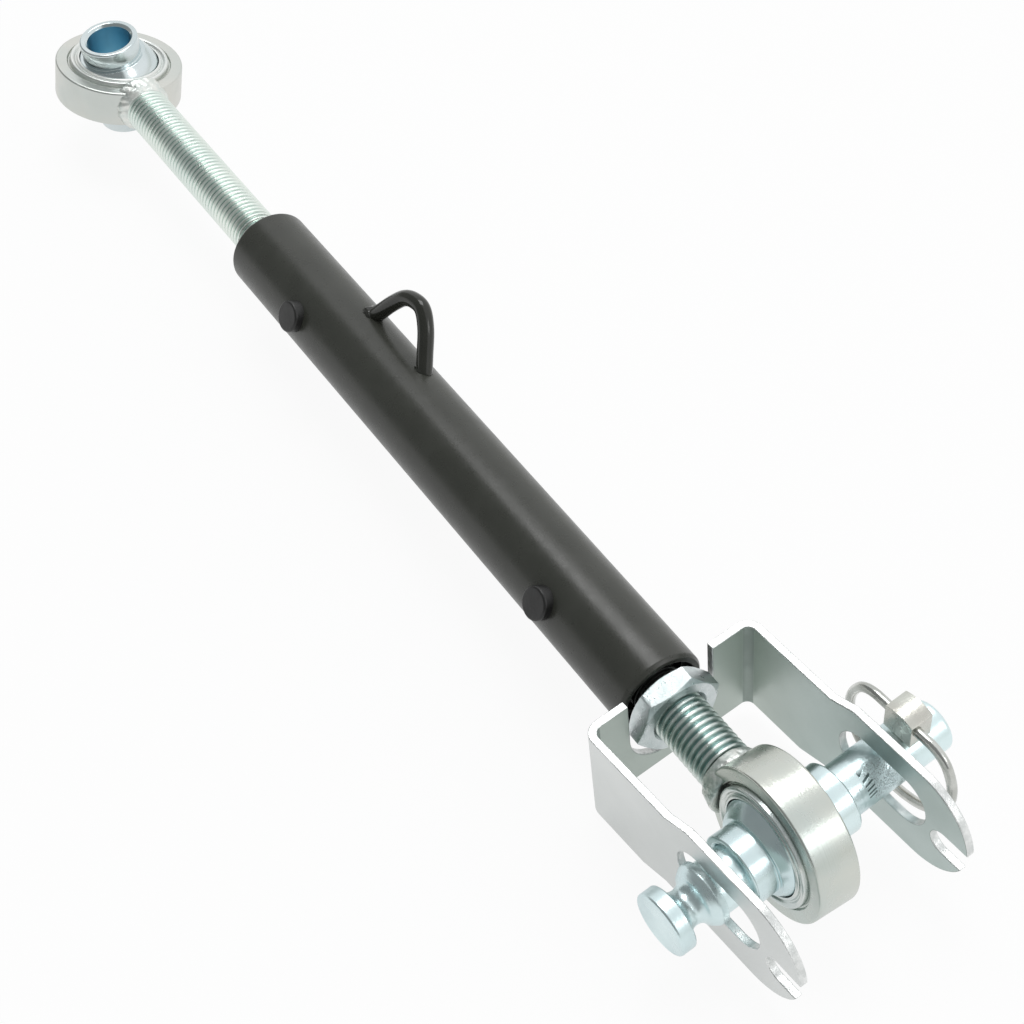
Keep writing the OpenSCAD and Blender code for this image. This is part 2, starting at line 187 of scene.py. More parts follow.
class Shade(Nodes):
    """A Principled material with its object coordinates, in metres."""

    def __init__(self, name):
        self.mat = bpy.data.materials.new(name)
        self.mat.use_nodes = True
        super().__init__(self.mat.node_tree)
        self.out = self.node("ShaderNodeOutputMaterial")
        self.bsdf = self.node("ShaderNodeBsdfPrincipled")
        self.link(self.bsdf.outputs[0], self.out.inputs[0])
        self.coords = self.node("ShaderNodeTexCoord").outputs["Object"]

    def set(self, **values):
        for key, value in values.items():
            name = key.replace("_", " ")
            found = next(s for s in self.bsdf.inputs if s.name.lower() == name)
            self.put(found, value)

    def fed(self, name):
        """The socket that now feeds one of the shader's inputs."""
        return self.bsdf.inputs[name].links[0].from_socket

    def noise(self, scale, detail=2.0, stretch=None, rough=0.5):
        vector = self.coords
        if stretch:
            m = self.node("ShaderNodeMapping")
            self.link(vector, m.inputs["Vector"])
            m.inputs["Scale"].default_value = stretch
            vector = m.outputs[0]
        n = self.node("ShaderNodeTexNoise")
        self.link(vector, n.inputs["Vector"])
        n.inputs["Scale"].default_value = scale
        n.inputs["Detail"].default_value = detail
        n.inputs["Roughness"].default_value = rough
        return n.outputs["Fac"]

    def line_noise(self, value, scale, detail=2.0):
        """Noise that changes with one value only, for lines and rings."""
        n = self.node("ShaderNodeTexNoise", noise_dimensions="1D")
        self.link(value, n.inputs["W"])
        n.inputs["Scale"].default_value = scale
        n.inputs["Detail"].default_value = detail
        return n.outputs["Fac"]

    def bump(self, height, strength, depth, normal=None):
        n = self.node("ShaderNodeBump")
        n.inputs["Strength"].default_value = strength
        n.inputs["Distance"].default_value = depth
        self.link(height, n.inputs["Height"])
        if normal:
            self.link(normal, n.inputs["Normal"])
        return n.outputs[0]

    def local(self, place):
        """Object coordinates in the frame of a turned part: x, y, z sockets."""
        inverse = place.inverted()
        m = self.node("ShaderNodeMapping", vector_type="POINT")
        self.link(self.coords, m.inputs["Vector"])
        m.inputs["Location"].default_value = Vector(inverse.translation) * MM
        m.inputs["Rotation"].default_value = inverse.to_euler("XYZ")
        s = self.node("ShaderNodeSeparateXYZ")
        self.link(m.outputs[0], s.inputs[0])
        return s.outputs

    def radius(self, place):
        """Distance from the z axis of a turned part, and the place along it."""
        x, y, z = self.local(place)
        squares = self.math("ADD", self.times(x, x), self.times(y, y))
        return self.math("SQRT", squares), z


def plated(name, light, dark, rough, tint_scale=40.0, grain=0.25, grain_scale=900.0,
           axis=None, marks=0.0, scratches=0.0):
    """Plated or bare steel: patchy tint, uneven gloss and fine grain.

    It may have turning marks round an axis, or fine scratches.
    """
    s = Shade(name)
    patches = s.noise(tint_scale, 4.0)
    s.set(metallic=1.0)
    s.set(base_color=s.mix(s.remap(patches, 0.32, 0.68), light, dark))
    gloss = s.noise(tint_scale * 2.7, 5.0, rough=0.6)
    s.set(roughness=s.remap(gloss, 0.25, 0.75, *rough))
    normal = s.bump(s.noise(grain_scale, 3.0, rough=0.65), grain, 0.0002)
    if axis is not None:
        r, z = s.radius(axis)
        lines = s.line_noise(s.math("ADD", r, z), 700.0, 3.0)
        normal = s.bump(lines, marks, 0.0002, normal)
    if scratches:
        fine = s.noise(160.0, 3.0, stretch=(1.0, 14.0, 6.0), rough=0.7)
        normal = s.bump(s.remap(fine, 0.5, 0.75), scratches, 0.0001, normal)
    s.set(normal=normal)
    return s


def painted(name, colour, lighter, rough, peel, peel_scale, coat=0.0):
    """Powder coat or paint: orange peel, dust and slightly uneven gloss."""
    s = Shade(name)
    s.set(base_color=s.mix(s.remap(s.noise(70.0, 5.0), 0.35, 0.7), colour, lighter))
    s.set(roughness=s.remap(s.noise(180.0, 4.0, rough=0.6), 0.3, 0.7, *rough))
    fine = s.bump(s.noise(peel_scale, 2.0), peel, 0.0002)
    s.set(normal=s.bump(s.noise(peel_scale * 0.2, 3.0), peel * 0.6, 0.0004, fine))
    if coat:
        s.set(coat_weight=coat, coat_roughness=0.04, specular_ior_level=0.15)
    return s


def rod_zinc(name, light, dark, root, painted_shadow_span=None):
    """Rolled thread: bright crests over darker, duller teal roots, a painted shade in the grooves.

    A painted black shadow covers the given stretch along the link, in metres, where the rod goes
    into the barrel's mouth.
    """
    s = plated(name, light, dark, (0.24, 0.36), grain=0.35)
    r, along = s.radius(ALONG_X)
    # Painted shade: the colour goes darker teal towards the thread's root.
    depth = s.remap(r, (ROD_R - 1.5) * MM, (ROD_R - 0.3) * MM)
    painted_shade_tint = s.mix(depth, root, s.fed("Base Color"))
    # Painted shadow: near black and less metallic over the stretch inside the barrel's mouth, with
    # a ragged edge.
    if painted_shadow_span:
        start, end = painted_shadow_span
        ragged = s.math("ADD", along, s.times(s.noise(400.0), 0.0012))
        painted_shadow = s.times(s.remap(ragged, start, start + 0.004),
                         s.remap(ragged, end, end + 0.002, 1.0, 0.0))
        painted_shade_tint = s.mix(painted_shadow, painted_shade_tint, (0.022, 0.024, 0.021))
        s.set(metallic=s.remap(painted_shadow, 0.3, 1.0, 1.0, 0.2))
    s.set(base_color=painted_shade_tint)
    return s


def shaded_inner_zinc():
    """The duller inside of the bracket, in painted shade: darker than the outside, more olive and
    darker still towards the web and its bends.
    """
    s = plated("bracket_inner_painted_shade_zinc", (0.54, 0.615, 0.595), (0.49, 0.57, 0.545), (0.38, 0.48),
               18.0, 0.14, 1600.0, scratches=0.1)
    x, _, _ = s.local(BRACKET)
    # Painted shade: darker and more olive towards the web.
    painted_shade_depth = s.remap(x, -0.058, -0.02, 1.0, 0.0)
    s.set(base_color=s.mix(painted_shade_depth, s.fed("Base Color"), (0.50, 0.56, 0.52)))
    return s


def shaded_bend_zinc():
    """The inside of the bracket's bends: dull plating, darker as painted shade in the crease, with
    fine lines from the forming tool.
    """
    # Colours below the sheet's inside: painted shade in the crease.
    s = plated("bracket_bend_painted_shade_zinc", (0.52, 0.58, 0.545), (0.47, 0.53, 0.50), (0.7, 0.85),
               40.0, 0.3, 1600.0)
    _, _, z = s.local(BRACKET)
    s.set(normal=s.bump(s.line_noise(z, 900.0), 0.2, 0.0002, s.fed("Normal")))
    return s


def pin_zinc():
    """The hitch pin's plating, with a row of short dark slanted marks and a dark speckled patch on
    the shank's front by the far arm.
    """
    s = plated("pin_zinc", (0.77, 0.91, 0.92), (0.64, 0.77, 0.79), (0.24, 0.36),
               50.0, 0.3, 600.0, axis=PIN_AXIS, marks=0.2)
    x, y, z = s.local(PIN_AXIS)

    def window(value, low, high, soft):
        """1 between low and high, fading to 0 over soft outside them."""
        return s.times(s.remap(value, low - soft, low),
                       s.remap(value, high, high + soft, 1.0, 0.0))

    front = s.remap(x, 0.0, 0.003)
    slanted = s.math("ADD", s.times(y, 5400.0), s.times(z, 900.0))
    teeth = s.remap(s.math("SINE", slanted), 0.0, 0.5)
    comb = s.times(teeth, window(z, 0.0285, 0.0315, 0.0004), window(y, -0.009, -0.003, 0.0005))
    grit = s.remap(s.noise(2600.0, 3.0, rough=0.7), 0.48, 0.62, 0.0, 0.7)
    patch = s.times(window(z, 0.032, 0.0385, 0.003), window(y, -0.0095, -0.002, 0.002))
    dark_marks = s.times(s.math("MAXIMUM", comb, s.times(grit, patch)), front)
    s.set(base_color=s.mix(dark_marks, s.fed("Base Color"), (0.12, 0.17, 0.17)))
    s.set(normal=s.bump(s.math("SUBTRACT", 1.0, dark_marks), 0.6, 0.0003, s.fed("Normal")))
    return s


WARM_LIGHT = (0.66, 0.675, 0.62)
WARM_DARK = (0.575, 0.63, 0.60)


def build_materials():
    """Every material by the short key that pieces use."""
    shades = {
        "barrel": painted("barrel_coat", (0.0395, 0.0415, 0.034), (0.046, 0.048, 0.040),
                          (0.26, 0.33), 0.10, 1500.0),
        "stud": painted("stud_black", (0.012, 0.012, 0.012), (0.02, 0.02, 0.019),
                        (0.32, 0.45), 0.2, 900.0),
        "loop": painted("loop_coat", (0.024, 0.025, 0.020), (0.031, 0.032, 0.026),
                        (0.2, 0.28), 0.12, 700.0, coat=0.6),
        "loop_weld": painted("loop_weld_coat", (0.020, 0.021, 0.017), (0.031, 0.032, 0.026),
                             (0.15, 0.25), 0.4, 450.0, coat=0.6),
        "insert": plated("insert_steel", (0.42, 0.42, 0.41), (0.3, 0.3, 0.29),
                         (0.3, 0.45), axis=ALONG_X, marks=0.3),
        "upper_eye": plated("upper_eye_zinc", (0.70, 0.70, 0.655), (0.63, 0.665, 0.635),
                            (0.3, 0.4), 30.0, 0.15, axis=UPPER_EYE, marks=0.25),
        "lower_eye": plated("lower_eye_zinc", WARM_LIGHT, WARM_DARK,
                            (0.22, 0.32), 30.0, 0.15, axis=LOWER_EYE, marks=0.25),
        # One plating in two painted tones: the upper eye face lighter as painted light, the lower
        # eye face darker as painted shade.
        "upper_face": plated("upper_face_painted_light_zinc", (0.80, 0.86, 0.86), (0.72, 0.80, 0.81),
                             (0.34, 0.46), 30.0, 0.15, axis=UPPER_EYE, marks=0.35),
        "lower_face": plated("lower_face_painted_shade_zinc", (0.40, 0.50, 0.50), (0.31, 0.41, 0.41),
                             (0.16, 0.26), 30.0, 0.15, axis=LOWER_EYE, marks=0.3),
        "upper_race": plated("upper_race_zinc", (0.86, 0.86, 0.83), (0.76, 0.79, 0.77),
                             (0.34, 0.46), 60.0, 0.2, axis=UPPER_EYE, marks=0.3),
        "lower_race": plated("lower_race_zinc", (0.78, 0.80, 0.77), (0.60, 0.66, 0.65),
                             (0.16, 0.28), 60.0, 0.2, axis=LOWER_EYE, marks=0.3),
        "bore": plated("bore_zinc", (0.46, 0.74, 0.86), (0.40, 0.66, 0.78),
                       (0.3, 0.42), 60.0, 0.2),
        "upper_ball": plated("upper_ball_zinc", (0.74, 0.80, 0.805), (0.61, 0.69, 0.70),
                             (0.14, 0.22), 40.0, 0.08, axis=UPPER_BALL, marks=0.12),
        "lower_ball": plated("lower_ball_zinc", (0.76, 0.89, 0.90), (0.62, 0.75, 0.77),
                             (0.2, 0.3), 40.0, 0.08, axis=PIN_AXIS, marks=0.15),
        "pin": pin_zinc(),
        "nut": plated("nut_zinc", (0.73, 0.78, 0.785), (0.55, 0.62, 0.62),
                      (0.24, 0.4), 120.0, 0.9, 1300.0),
        "sheet": plated("bracket_zinc", (0.75, 0.77, 0.76), (0.68, 0.705, 0.695),
                        (0.34, 0.42), 18.0, 0.14, 1600.0, scratches=0.1),
        "sheet_edge": plated("bracket_cut_edge", (0.9, 0.91, 0.9), (0.68, 0.7, 0.69),
                             (0.3, 0.5), 300.0, 0.8, 1100.0),
        "sheet_inner_painted_shade": shaded_inner_zinc(),
        "sheet_bend_painted_shade": shaded_bend_zinc(),
        "lynch": plated("lynch_zinc", WARM_LIGHT, (0.58, 0.57, 0.52),
                        (0.2, 0.34), 80.0, 0.5, 800.0),
        "ring": plated("ring_zinc", (0.66, 0.67, 0.64), (0.5, 0.51, 0.48),
                       (0.14, 0.26), 120.0, 0.3, 700.0),
        "weld": plated("weld_zinc", (0.88, 0.89, 0.85), (0.74, 0.79, 0.76),
                       (0.36, 0.52), 300.0, 1.0, 800.0),
        "spring": plated("stop_spring", (0.2, 0.2, 0.2), (0.12, 0.12, 0.12), (0.3, 0.4)),
        "upper_rod": rod_zinc("upper_rod_zinc", (0.88, 0.94, 0.88), (0.80, 0.88, 0.83),
                              (0.22, 0.38, 0.36)),
        # The lower rod carries a painted black shadow inside the barrel's mouth.
        "lower_rod": rod_zinc("lower_rod_zinc", (0.75, 0.81, 0.77), (0.66, 0.73, 0.70),
                              (0.24, 0.38, 0.37), painted_shadow_span=(0.4055, 0.4155)),
    }
    return {key: s.mat for key, s in shades.items()}


MATERIALS = build_materials()


# ---------------------------------------------------------------- mesh helpers
def piece(name, bm, keys, body, nodes, sharp=None):
    """Turns a bmesh in millimetres into a piece on a CAD body, in place of the given nodes."""
    bmesh.ops.scale(bm, vec=(MM, MM, MM), verts=bm.verts)
    bmesh.ops.recalc_face_normals(bm, faces=bm.faces)
    mesh = bpy.data.meshes.new(name)
    bm.to_mesh(mesh)
    bm.free()
    for key in keys:
        mesh.materials.append(MATERIALS[key])
    for p in mesh.polygons:
        p.use_smooth = True
    if sharp:
        mesh.set_sharp_from_angle(angle=math.radians(sharp))
    obj = bpy.data.objects.new(name, mesh)
    bpy.context.scene.collection.objects.link(obj)
    obj.modifiers.new("even_normals", "WEIGHTED_NORMAL").keep_sharp = True
    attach(obj, body)
    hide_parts(*nodes)


def rounded(points, steps=5):
    """A closed outline of (x, y, fillet) corners, each rounded within its half of both sides."""
    out = []
    n = len(points)
    for i, (x, y, fillet) in enumerate(points):
        p = Vector((x, y))
        a = Vector(points[i - 1][:2]) - p
        b = Vector(points[(i + 1) % n][:2]) - p
        reach = min(fillet, a.length * 0.48, b.length * 0.48)
        if reach <= 0.001:
            out.append((x, y))
            continue
        start, end = p + a.normalized() * reach, p + b.normalized() * reach
        for k in range(steps + 1):
            t = k / steps
            q = start * (1 - t) ** 2 + p * 2 * t * (1 - t) + end * t * t
            out.append((q.x, q.y))
    return out


def lathe(bm, outline, place, segments, shape=None):
    """Revolves a closed outline of (along, radius) about the place's z axis.

    shape(along, radius, angle) gives each point's own (along, radius).
    """
    rings = []
    for along, r in outline:
        ring = []
        if r < 1e-6:
            v = bm.verts.new(place @ Vector((0, 0, along)))
            rings.append([v] * segments)
            continue
        for k in range(segments):
            angle = 2 * math.pi * k / segments
            a, q = shape(along, r, angle) if shape else (along, r)
            spot = Vector((q * math.cos(angle), q * math.sin(angle), a))
            ring.append(bm.verts.new(place @ spot))
        rings.append(ring)
    for i, ring in enumerate(rings):
        other = rings[(i + 1) % len(rings)]
        for k in range(segments):
            j = (k + 1) % segments
            corners = []
            for v in (ring[k], ring[j], other[j], other[k]):
                if v not in corners:
                    corners.append(v)
            if len(corners) > 2:
                bm.faces.new(corners)


def tube(bm, points, radius, sides):
    """A round wire along points, with softly rounded ends."""
    last = len(points) - 1
    tangents = [(points[min(i + 1, last)] - points[max(i - 1, 0)]).normalized()
                for i in range(last + 1)]
    side = tangents[0].orthogonal().normalized()
    ends = ((0.35, 0.62), (0.35 * 0.45, 0.9))  # distance past the end and radius, in wire radii
    rings = []

    def ring(centre, tangent, side, r):
        other = tangent.cross(side)
        angles = [2 * math.pi * k / sides for k in range(sides)]
        return [bm.verts.new(centre + (side * math.cos(a) + other * math.sin(a)) * r)
                for a in angles]

    for i, (point, tangent) in enumerate(zip(points, tangents)):
        side = (side - tangent * side.dot(tangent)).normalized()
        if i == 0:
            for past, share in ends:
                rings.append(ring(point - tangent * past * radius, tangent, side, radius * share))
        rings.append(ring(point, tangent, side, radius))
        if i == last:
            for past, share in ends[::-1]:
                rings.append(ring(point + tangent * past * radius, tangent, side, radius * share))
    for a, b in zip(rings, rings[1:]):
        for k in range(sides):
            j = (k + 1) % sides
            bm.faces.new((a[k], a[j], b[j], b[k]))
    bm.faces.new(rings[0])
    bm.faces.new(rings[-1][::-1])


def smooth_path(points, spacing=0.8):
    """Catmull-Rom curve through points, sampled evenly enough for a tube."""
    pts = [Vector(p) for p in points]
    pts = [pts[0] * 2 - pts[1]] + pts + [pts[-1] * 2 - pts[-2]]
    out = []
    for i in range(1, len(pts) - 2):
        a, b, c, d = pts[i - 1:i + 3]
        steps = max(2, round((c - b).length / spacing))
        for k in range(steps):
            t = k / steps
            out.append(0.5 * ((2 * b) + (c - a) * t + (2 * a - 5 * b + 4 * c - d) * t * t
                              + (3 * b - a - 3 * c + d) * t ** 3))
    out.append(pts[-2])
    return out


def cad_copy(node):
    """A CAD node's mesh in millimetres, with its flat faces made whole again."""
    bm = bmesh.new()
    bm.from_mesh(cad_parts[node].data)
    bmesh.ops.scale(bm, vec=(1 / MM,) * 3, verts=bm.verts)
    bmesh.ops.remove_doubles(bm, verts=bm.verts, dist=0.002)
    bmesh.ops.dissolve_limit(bm, angle_limit=math.radians(0.4), verts=bm.verts, edges=bm.edges)
    return bm


def soften(bm, width, segments=3):
    """Rounds the sharp edges of a bmesh in millimetres."""
    edges = [e for e in bm.edges
             if len(e.link_faces) == 2 and e.calc_face_angle(0) > math.radians(SHARP_ANGLE)]
    bmesh.ops.bevel(bm, geom=edges, offset=width, segments=segments, profile=0.5,
                    affect="EDGES", clamp_overlap=True, loop_slide=True)


# ---------------------------------------------------------------- the barrel and what is on it
def build_barrel():
    """The tube, recessed at both ends, with a small flat chamfer outside."""
    bm = bmesh.new()
    chamfer_r = BARREL_R - CHAMFER_DEEP
    start_floor, end_floor = BARREL_START + BARREL_RECESS, BARREL_END - BARREL_RECESS
    lathe(bm, rounded([
        (BARREL_START, BARREL_RECESS_R, 0.4), (BARREL_START, chamfer_r, 0.25),
        (BARREL_START + CHAMFER_LONG, BARREL_R, 0.4), (BARREL_END - CHAMFER_LONG, BARREL_R, 0.4),
        (BARREL_END, chamfer_r, 0.25), (BARREL_END, BARREL_RECESS_R, 0.4),
        (end_floor, BARREL_RECESS_R, 0.3), (end_floor, BARREL_BORE_R, 0.3),
        (start_floor, BARREL_BORE_R, 0.3), (start_floor, BARREL_RECESS_R, 0.3),
    ]), ALONG_X, 128)
    piece("barrel_body", bm, ["barrel"], "barrel", ["barrel_tube"])


def build_studs():
    """Round heads saddled on the tube, with a soft rim."""
    bm = bmesh.new()
    outline = rounded([
        (STUD_FOOT, 0.0, 0), (STUD_FOOT, STUD_STEM_R, 0.2), (STUD_SHOULDER, STUD_STEM_R, 0.2),
        (STUD_SHOULDER, STUD_HEAD_R, 0.2), (STUD_TOP, STUD_HEAD_R, 1.1), (STUD_TOP, 0.0, 0)])

    def settle(along, r, angle):
        """Keeps the head's underside just below the tube's skin."""
        skin = math.sqrt(max(BARREL_R ** 2 - (r * math.sin(angle)) ** 2, 1.0))
        return (max(along, skin - 0.3) if r > STUD_STEM_R + 0.3 else along), r

    for x in INSERT_X:
        for side in (1, -1):
            place = Matrix.Translation((x, 0, 0)) @ BARREL @ turn("X", -90 * side)
            lathe(bm, outline, place, 48, settle)
    piece("stud_heads", bm, ["stud"], "barrel", ["insert_studs"])


def build_loop():
    """The bent wire loop and its two weld beads, the right one a little smaller."""
    place = Matrix.Translation((LOOP_X, 0, 0)) @ BARREL
    bm = bmesh.new()
    bends = smooth_path([(x, 0, z) for x, z in LOOP_BENDS])
    tube(bm, [place @ q for q in bends], LOOP_WIRE_R, 28)
    piece("loop_wire", bm, ["loop"], "barrel", ["hand_loop"])
    bm = bmesh.new()
    for side, less in ((1, 0.7), (-1, 0.0)):
        root = (place @ Matrix.Translation((side * LOOP_FOOT, 0, BARREL_R - 1.0))
                @ turn("Y", -side * LOOP_LEAN))
        outline = rounded([
            (-3.0, 0.5, 0), (-3.0, 5.0 - less, 0.8), (0.6, 4.5 - less, 0.8),
            (1.6, 3.9 - less, 0.6), (2.4, 3.1, 0.5), (2.4, 0.5, 0)], 3)

        def lumps(along, r, angle, seed=side * 7.0):
            p = Vector((math.cos(angle) * 1.3, math.sin(angle) * 1.3, along * 0.35 + seed))
            swell = 1 + 0.16 * noise.noise(p * 1.7) + 0.05 * noise.noise(p * 6.0)
            drop = r * r * math.sin(angle) ** 2 / (2 * BARREL_R)
            return along - drop, r * swell

        lathe(bm, outline, root, 64, lumps)
    piece("loop_beads", bm, ["loop_weld"], "barrel", ["loop_welds"])


# ---------------------------------------------------------------- eyes
def build_eye(which, place, ball_place, ball_body, eye_body):
    """An eye ring with a groove in each face, the race pressed in it, and the bored ball."""
    groove = EYE_HALF - GROOVE_DEPTH
    bm = bmesh.new()
    lathe(bm, rounded([
        (-EYE_HALF, GROOVE_R, 0.3), (-EYE_HALF, EYE_R, 1.0), (EYE_HALF, EYE_R, 1.0),
        (EYE_HALF, GROOVE_R, 0.3), (groove, GROOVE_FLOOR_R, 0.3), (groove, RACE_R, 0.1),
        (-groove, RACE_R, 0.1), (-groove, GROOVE_FLOOR_R, 0.3)]), place, 160)
    # Flat faces take the face material: painted lighter on the upper eye, painted darker as shade
    # on the lower eye.
    turned = place.inverted().to_3x3()
    for f in bm.faces:
        f.material_index = 1 if abs((turned @ f.normal).z) > 0.95 else 0
    piece(f"{which}_ring", bm, [f"{which}_eye", f"{which}_face"], eye_body,
          [f"{which}_eye"])
    bm = bmesh.new()
    seat = [(z, math.sqrt(SEAT_R ** 2 - z * z), 0)
            for z in (SEAT_HALF - 2 * SEAT_HALF * k / 24 for k in range(25))]
    lip = [(RACE_HALF, 17.55, 0.3), (RACE_HALF - 0.1, 18.6, 0.5), (RACE_HALF - 1.1, 19.0, 0.3),
           (RACE_HALF - 1.0, 19.4, 0.2), (RACE_HALF, 20.2, 0.9), (RACE_HALF, RACE_R - 0.4, 1.2),
           (RACE_HALF - 2.2, RACE_R, 0.6)]
    lathe(bm, rounded([(-z, r, f) for z, r, f in lip] + lip[::-1] + seat), place, 160)
    piece(f"{which}_race_lips", bm, [f"{which}_race"], eye_body,
          [f"{which}_race"])
    bm = bmesh.new()
    dome = [(z, math.sqrt(BALL_R ** 2 - z * z), 0)
            for z in (BALL_STEP - 2 * BALL_STEP * k / 40 for k in range(39, 0, -1))]
    lathe(bm, rounded([
        (-BALL_HALF, BORE_R + BORE_BEVEL, 0.3), (-BALL_HALF, NECK_R, 0.9),
        (-BALL_STEP, NECK_R - 0.2, 0.4), (-BALL_STEP, BALL_STEP_R, 0.25),
        *dome,
        (BALL_STEP, BALL_STEP_R, 0.25), (BALL_STEP, NECK_R - 0.2, 0.4),
        (BALL_HALF, NECK_R, 0.9), (BALL_HALF, BORE_R + BORE_BEVEL, 0.3),
        (BALL_HALF - BORE_BEVEL, BORE_R, 0.3), (BORE_BEVEL - BALL_HALF, BORE_R, 0.3),
    ]), ball_place, 128)
    inverse = ball_place.inverted()
    for f in bm.faces:
        c = inverse @ f.calc_center_median()
        f.material_index = 1 if math.hypot(c.x, c.y) < BORE_R + 0.1 else 0
    piece(f"{which}_swivel", bm, [f"{which}_ball", "bore"], ball_body,
          [f"{which}_ball"])


def thread_radius(pitches):
    """Radius over one pitch: a broad crest, sloping flanks and a round root."""
    crest_half, flank = 0.15, 0.27
    t = min(max((abs(pitches % 1.0 - 0.5) - crest_half) / flank, 0.0), 1.0)
    return ROD_R - THREAD_DEPTH * (t * t * (3 - 2 * t))


def build_rod(which, place, reach, hand, body):
    """A rod with a real helical thread. hand is 1 for right-hand about the way it points.

    The rows of the grid follow the helix, so a row's last column meets the first column one
    pitch further on, or one pitch back where the thread is left-handed.
    """
    bm = bmesh.new()
    sides, per_pitch = 72, 12
    step = PITCH / per_pitch
    rows = int((reach - THREAD_START) / PITCH * per_pitch) + per_pitch
    grid = []
    for i in range(-per_pitch, rows + 1):
        ring = []
        for k in range(sides):
            lead = hand * PITCH * (k / sides)
            along = min(max(THREAD_START + i * step + lead, THREAD_START), reach)
            r = min(thread_radius((along - lead) / PITCH), ROD_R - ROD_END_BEVEL + reach - along)
            angle = 2 * math.pi * (k / sides)
            spot = Vector((r * math.cos(angle), r * math.sin(angle), along))
            ring.append(bm.verts.new(place @ spot))
        grid.append(ring)
    for i in range(len(grid) - 1):
        for k in range(sides):
            other, j = (i, k + 1) if k + 1 < sides else (i + hand * per_pitch, 0)
            if 0 <= other < len(grid) - 1:
                bm.faces.new((grid[i][k], grid[other][j], grid[other + 1][j], grid[i + 1][k]))
    bmesh.ops.remove_doubles(bm, verts=bm.verts, dist=0.0005)
    bmesh.ops.dissolve_degenerate(bm, dist=0.0005, edges=bm.edges)
    open_edges = [e for e in bm.edges if len(e.link_faces) == 1]
    bmesh.ops.holes_fill(bm, edges=open_edges, sides=0)
    piece(f"{which}_thread", bm, [f"{which}_rod"], body, [f"{which}_rod"],
          sharp=60)


def build_weld(which, place, body, seed, lean, size):
    """A rippled bead where the rod meets the eye, heaviest on the side lean names in degrees."""
    bm = bmesh.new()
    crown = [(22.0, ROD_R + 1.9), (23.0, ROD_R + 2.2), (27.2, ROD_R + 1.2),
             (29.4, ROD_R + 0.35), (29.8, ROD_R + 0.1)]
    core_r, row = 8.5, 0.35
    outline = [(21.5, core_r)]
    for (begin, low), (end, high) in zip(crown, crown[1:]):
        steps = max(1, round((end - begin) / row))
        outline += [(begin + (end - begin) * k / steps, low + (high - low) * k / steps)
                    for k in range(steps)]
    outline += [crown[-1], (30.0, core_r)]

    def ripple(along, r, angle):
        p = Vector((math.cos(angle), math.sin(angle), along * 0.08 + seed))
        fine = Vector((p.x * ROD_R, p.y * ROD_R, along + seed))
        share = max(math.cos(angle - math.radians(lean)), 0.0) * size
        bump = 0.4 * noise.noise(p * 2.2)
        bump += 0.3 * abs(math.sin(angle * 9 + along * 0.5)) * (0.4 + share)
        bump += 0.30 * noise.noise(fine * 0.55) + 0.16 * noise.noise(fine * 1.3)
        fade = min(max((29.9 - along) / 3.0, 0.0), 1.0)
        swell = (bump + 0.8 * share) * fade * (r > ROD_R)
        shift = 0.3 * noise.noise(p * 3.1 + Vector((5, 0, 0)))
        return along + shift + 0.8 * share * fade * (along > 26), r + swell

    lathe(bm, outline, place, 192, ripple)
    piece(f"{which}_bead", bm, ["weld"], body, [f"{which}_weld"])


def build_nut():
    """The hexagon nut, with its corners chamfered at both faces."""
    bm = bmesh.new()
    flat = NUT_FLATS / 2
    corner = flat / math.cos(math.pi / 6)
    end = NUT_START + NUT_LENGTH
    rim, rise, lead = flat - 0.3, corner - flat + 0.4, 1.1
    bore_r = ROD_R + 0.08

    def hexagon(along, r, angle):
        if r < ROD_R + 2:
            return along, r
        a = (angle + math.pi / 6) % (math.pi / 3) - math.pi / 6
        return along, min(r, flat / math.cos(a), corner - 0.25)

    shares = [k / 8 for k in range(9)]
    outline = [(NUT_START, ROD_R + lead), (NUT_START, rim)]
    outline += [(NUT_START + 0.05 + 1.35 * t, rim + rise * t) for t in shares]
    outline += [(NUT_START + 1.4 + (NUT_LENGTH - 2.8) * t, corner + 1) for t in shares[1:-1]]
    outline += [(end - 0.05 - 1.35 * t, rim + rise * t) for t in shares[::-1]]
    outline += [(end, rim), (end, ROD_R + lead), (end - lead, bore_r), (NUT_START + lead, bore_r)]
    lathe(bm, outline, turn("X", NUT_ROLL) @ ALONG_X, 144, hexagon)
    piece("nut_body", bm, ["nut"], "jam_nut", ["jam_nut"], sharp=24)


# ---------------------------------------------------------------- hitch pin, lynch pin and bracket
def build_pin():
    """The hitch pin: head, round waist, flared collar and shank."""
    bm = bmesh.new()
    waist = []
    for k in range(1, 12):
        a = math.pi * (k / 12)
        waist.append((HEAD_END + WAIST_LENGTH * (1 - math.cos(a)) / 2,
                      WAIST_R - WAIST_DEPTH * math.sin(a), 0))
    lathe(bm, rounded([
        (HEAD_Y, 0.0, 0), (HEAD_Y, HEAD_R, 1.0), (HEAD_END, HEAD_R, 0.7),
        *waist,
        (COLLAR_START, COLLAR_R, 0.5), (COLLAR_Y, COLLAR_R, 0.4), (COLLAR_Y, PIN_R, 0.15),
        (TIP_Y, PIN_R, 1.8), (TIP_Y, 0.0, 0),
    ]), PIN_AXIS, 128)
    piece("hitch_pin_body", bm, ["pin"], "hitch_pin", ["hitch_pin"])


